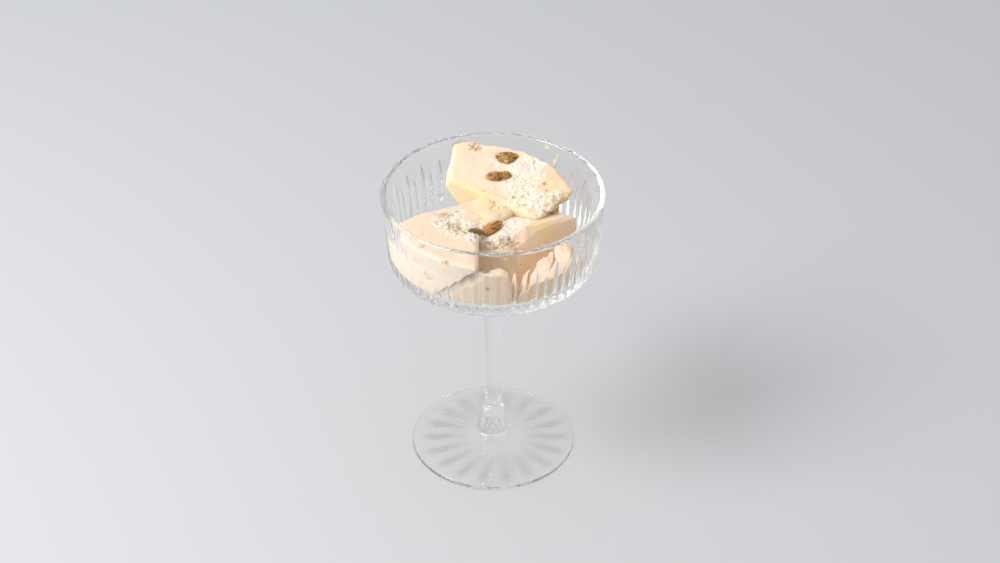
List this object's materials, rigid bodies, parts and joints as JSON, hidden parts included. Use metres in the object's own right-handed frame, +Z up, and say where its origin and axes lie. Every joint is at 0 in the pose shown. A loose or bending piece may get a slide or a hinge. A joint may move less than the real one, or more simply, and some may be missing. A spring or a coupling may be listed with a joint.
{
  "type": "pistachio kulfi in a stemmed glass",
  "caption": "Broken blocks of pale pistachio kulfi with sultanas in a stemmed coupe of cut glass.",
  "frame": {"origin": "centre of the foot, on the table", "axes": "+Z up along the stem, -Y towards the viewer of the picture"},
  "size_m": [0.104, 0.104, 0.147],
  "materials": {
    "clear_glass": "polished, with wheel-cut flutes",
    "kulfi_cream": "frozen milk, smooth where cut and crumbly where broken",
    "sultana_skin": "wrinkled and sticky",
    "pistachio_skin": "wrinkled, dark olive"
  },
  "bodies": {
    "root": {"coupe_glass": "clear_glass", "kulfi_top": "kulfi_cream", "kulfi_left": "kulfi_cream", "kulfi_right": "kulfi_cream", "kulfi_back": "kulfi_cream", "kulfi_front": "kulfi_cream", "kulfi_low": "kulfi_cream", "sultana_upper": "sultana_skin", "sultana_lower": "sultana_skin", "sultana_valley": "sultana_skin", "pistachio_valley": "pistachio_skin"}
  },
  "joints": []
}
